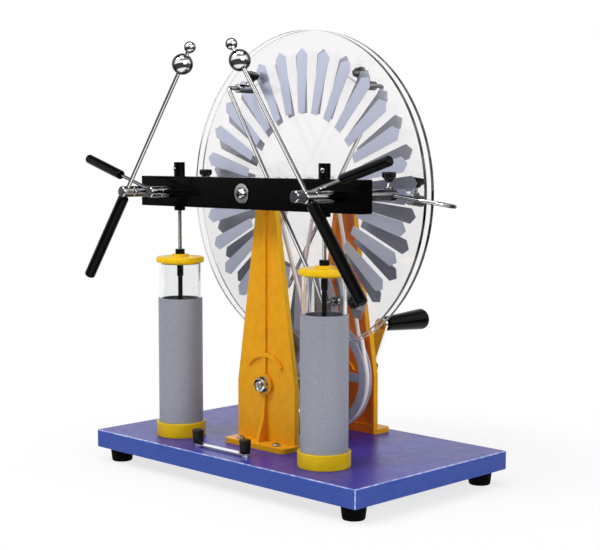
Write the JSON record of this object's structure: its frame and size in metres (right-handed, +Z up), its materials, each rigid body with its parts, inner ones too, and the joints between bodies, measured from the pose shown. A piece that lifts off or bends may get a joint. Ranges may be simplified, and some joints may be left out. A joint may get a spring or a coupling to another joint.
{
  "type": "electrostatic influence machine",
  "caption": "Hand-cranked electrostatic influence machine with counter-rotating sectored discs, storage jars, swinging spark electrodes and a belt drive on a base board.",
  "frame": {"origin": "on the floor, at the middle of the footprint", "axes": "+X to the right seen from the jars' side, +Y back towards the crank, +Z up"},
  "size_m": [0.4142, 0.2935, 0.4345],
  "materials": {
    "board_paint": "satin blue laminate on board",
    "foot_rubber": "matt black rubber",
    "amber_plastic": "amber yellow moulded plastic",
    "yellow_plastic": "bright yellow moulded plastic",
    "black_plastic": "glossy black plastic",
    "grey_plastic": "light grey moulded plastic",
    "bright_metal": "bright chrome plate",
    "plain_steel": "plain turned steel",
    "brass_metal": "plain brass",
    "sector_foil": "thin bright foil",
    "jar_foil": "dull grey foil",
    "clear_plastic": "clear, polished",
    "belt_cord": "pale translucent round belt"
  },
  "bodies": {
    "frame": {"base_board": "board_paint", "rubber_feet": "foot_rubber", "front_upright": "amber_plastic", "rear_upright": "amber_plastic", "upright_screws": "bright_metal", "main_axle": "plain_steel", "beam_bolt": "bright_metal", "axle_nut": "plain_steel", "cross_beam": "black_plastic", "axle_spacers": "plain_steel", "front_belt": "belt_cord", "rear_belt": "belt_cord", "left_conductor_post": "bright_metal", "right_conductor_post": "bright_metal", "terminal_posts": "bright_metal", "terminal_bushes": "black_plastic", "jar_cups": "yellow_plastic", "jar_tubes": "clear_plastic", "jar_foils": "jar_foil", "jar_liners": "jar_foil", "jar_caps": "yellow_plastic", "jar_rods": "bright_metal", "jar_stems": "black_plastic", "collector_forks": "bright_metal", "collector_clamps": "bright_metal", "clamp_screws": "bright_metal", "clamp_knobs": "black_plastic", "link_posts": "bright_metal", "link_knobs": "black_plastic"},
    "front_disc": {"front_disc": "clear_plastic", "front_sectors": "sector_foil", "front_hub": "grey_plastic"},
    "rear_disc": {"rear_disc": "clear_plastic", "rear_sectors": "sector_foil", "rear_hub": "grey_plastic"},
    "crank": {"crank_axle": "plain_steel", "front_drive_pulley": "grey_plastic", "rear_drive_pulley": "grey_plastic", "crank_arm": "bright_metal", "crank_pin": "brass_metal", "crank_nuts": "bright_metal", "crank_sleeve": "plain_steel"},
    "crank_handle": {"crank_handle": "black_plastic"},
    "left_electrode": {"left_electrode_head": "bright_metal", "left_electrode_rod": "bright_metal", "left_spark_balls": "bright_metal", "left_electrode_handle": "black_plastic"},
    "right_electrode": {"right_electrode_head": "bright_metal", "right_electrode_rod": "bright_metal", "right_spark_balls": "bright_metal", "right_electrode_handle": "black_plastic"},
    "left_lever": {"left_lever": "bright_metal", "left_lever_handle": "black_plastic"},
    "right_lever": {"right_lever": "bright_metal", "right_lever_handle": "black_plastic"},
    "front_neutraliser": {"front_neutraliser": "bright_metal", "front_brush_knobs": "black_plastic"},
    "rear_neutraliser": {"rear_neutraliser": "bright_metal", "rear_brush_knobs": "black_plastic"},
    "jar_link": {"link_strip": "bright_metal"}
  },
  "joints": [
    {"name": "front_disc_spin", "type": "hinge", "parent": "frame", "child": "front_disc", "pos_m": [0, -0.01675, 0.2775], "axis": [0, 1, 0], "continuous": true},
    {"name": "rear_disc_spin", "type": "hinge", "parent": "frame", "child": "rear_disc", "pos_m": [0, -0.00875, 0.2775], "axis": [0, 1, 0], "continuous": true},
    {"name": "crank_turn", "type": "hinge", "parent": "frame", "child": "crank", "pos_m": [0, 0.07975, 0.0925], "axis": [0, 1, 0], "continuous": true},
    {"name": "crank_handle_spin", "type": "hinge", "parent": "crank", "child": "crank_handle", "pos_m": [0.01892, 0.08575, 0.13932], "axis": [0, 1, 0], "continuous": true},
    {"name": "left_electrode_swing", "type": "hinge", "parent": "frame", "child": "left_electrode", "pos_m": [-0.126, -0.13675, 0.2775], "axis": [0, 1, 0], "range_deg": [-50, 9]},
    {"name": "right_electrode_swing", "type": "hinge", "parent": "frame", "child": "right_electrode", "pos_m": [0.126, -0.13675, 0.2775], "axis": [0, -1, 0], "range_deg": [-50, 9]},
    {"name": "left_lever_lift", "type": "hinge", "parent": "frame", "child": "left_lever", "pos_m": [-0.1, -0.12275, 0.2775], "axis": [0, 1, 0], "range_deg": [0, 80]},
    {"name": "right_lever_lift", "type": "hinge", "parent": "frame", "child": "right_lever", "pos_m": [0.1, -0.12275, 0.2775], "axis": [0, -1, 0], "range_deg": [0, 80]},
    {"name": "front_neutraliser_turn", "type": "hinge", "parent": "frame", "child": "front_neutraliser", "pos_m": [0, -0.05625, 0.2775], "axis": [0, -1, 0], "range_deg": [-10, 25]},
    {"name": "rear_neutraliser_turn", "type": "hinge", "parent": "frame", "child": "rear_neutraliser", "pos_m": [0, 0.03075, 0.2775], "axis": [0, 1, 0], "range_deg": [-10, 25]},
    {"name": "jar_link_swing", "type": "hinge", "parent": "frame", "child": "jar_link", "pos_m": [-0.0455, -0.11525, 0.034], "axis": [0, 0, -1], "range_deg": [0, 90]}
  ],
  "couplings": [
    {"joint": "rear_disc_spin", "follows": "front_disc_spin", "ratio": -1},
    {"joint": "crank_turn", "follows": "front_disc_spin", "ratio": -0.24528}
  ]
}
